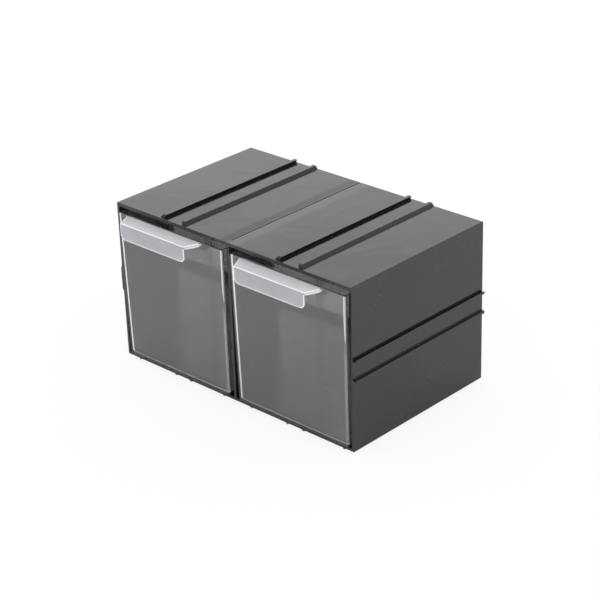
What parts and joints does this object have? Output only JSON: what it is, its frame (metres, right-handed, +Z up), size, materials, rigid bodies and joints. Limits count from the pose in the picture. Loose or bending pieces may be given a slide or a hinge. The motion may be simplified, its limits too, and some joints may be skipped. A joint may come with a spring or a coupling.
{
  "type": "two-drawer organizer block",
  "caption": "Stackable storage block: a black moulded housing with clear slide-out drawers side by side, finger ledges on the drawers, and interlocking dovetail rails outside.",
  "frame": {"origin": "centre of the bottom of the whole block's box, rails and drawer lips included, on the surface it stands on", "axes": "+X to the right as seen from the front, -Y towards the front (the way the drawers pull out), +Z up"},
  "size_m": [0.2022, 0.134, 0.1117],
  "materials": {
    "black_plastic": "glossy injection-moulded polystyrene, black, with faint flow marks and scuffs",
    "clear_plastic": "clear injection-moulded polystyrene, polished, frosted on the finger ledge and its hanging lip"
  },
  "bodies": {
    "housing": {"housing": "black_plastic"},
    "left_drawer": {"left_drawer": "clear_plastic"},
    "right_drawer": {"right_drawer": "clear_plastic"}
  },
  "joints": [
    {"name": "left_drawer_slide", "type": "slide", "parent": "housing", "child": "left_drawer", "axis": [0, -1, 0], "range_m": [0, 0.0875]},
    {"name": "right_drawer_slide", "type": "slide", "parent": "housing", "child": "right_drawer", "axis": [0, -1, 0], "range_m": [0, 0.0875]}
  ]
}
